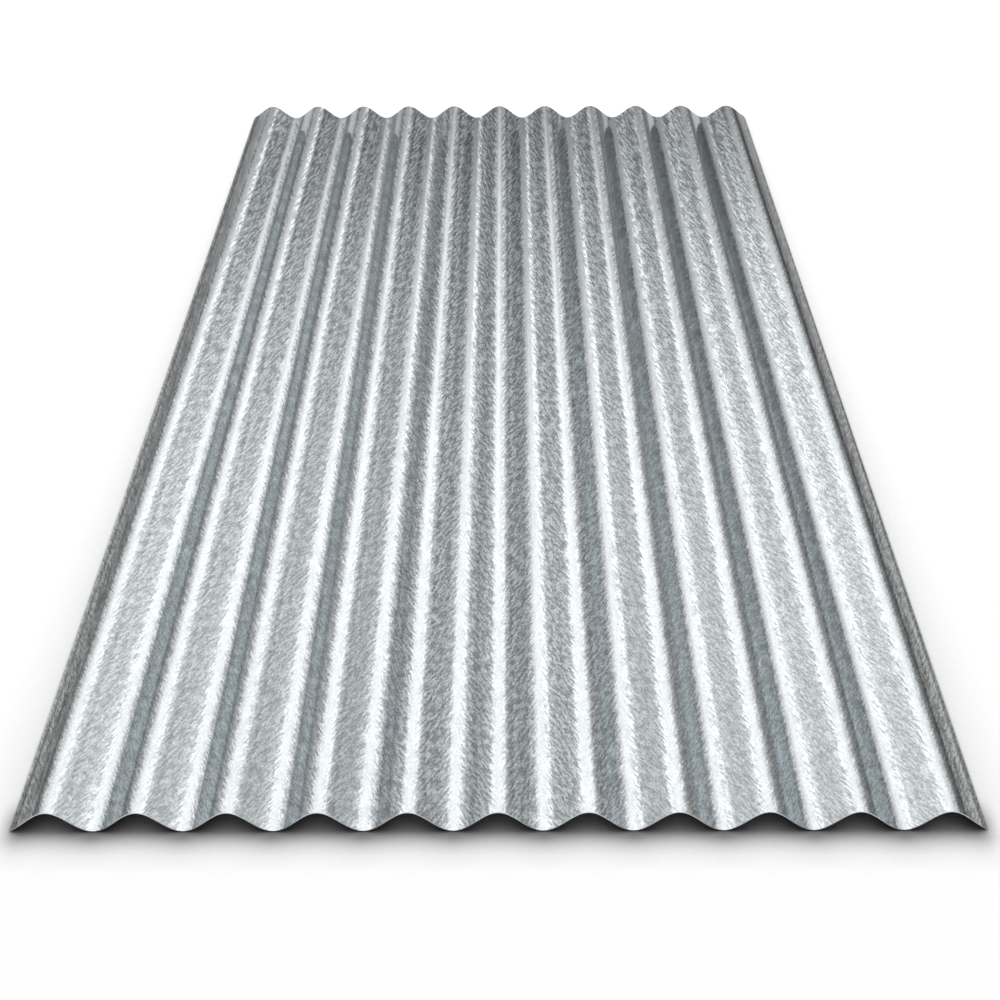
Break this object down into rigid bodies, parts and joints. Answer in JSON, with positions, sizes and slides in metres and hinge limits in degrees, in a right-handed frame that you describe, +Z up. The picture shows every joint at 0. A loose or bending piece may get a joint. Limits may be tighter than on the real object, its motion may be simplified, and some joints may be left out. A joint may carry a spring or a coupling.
{
  "type": "corrugated metal sheet",
  "caption": "Galvanised steel roofing and cladding sheet with even round corrugations along its length, square cut ends and both side edges turned down to lap its neighbours.",
  "frame": {"origin": "Under the middle of the sheet, at the height of the valleys' undersides, on which it lies", "axes": "+Y along the corrugations, +X across them, +Z up out of the upper face"},
  "size_m": [0.8254, 1.8, 0.0208],
  "materials": {
    "galvanised_steel": "satin"
  },
  "bodies": {
    "root": {"corrugated_sheet": "galvanised_steel"}
  },
  "joints": []
}
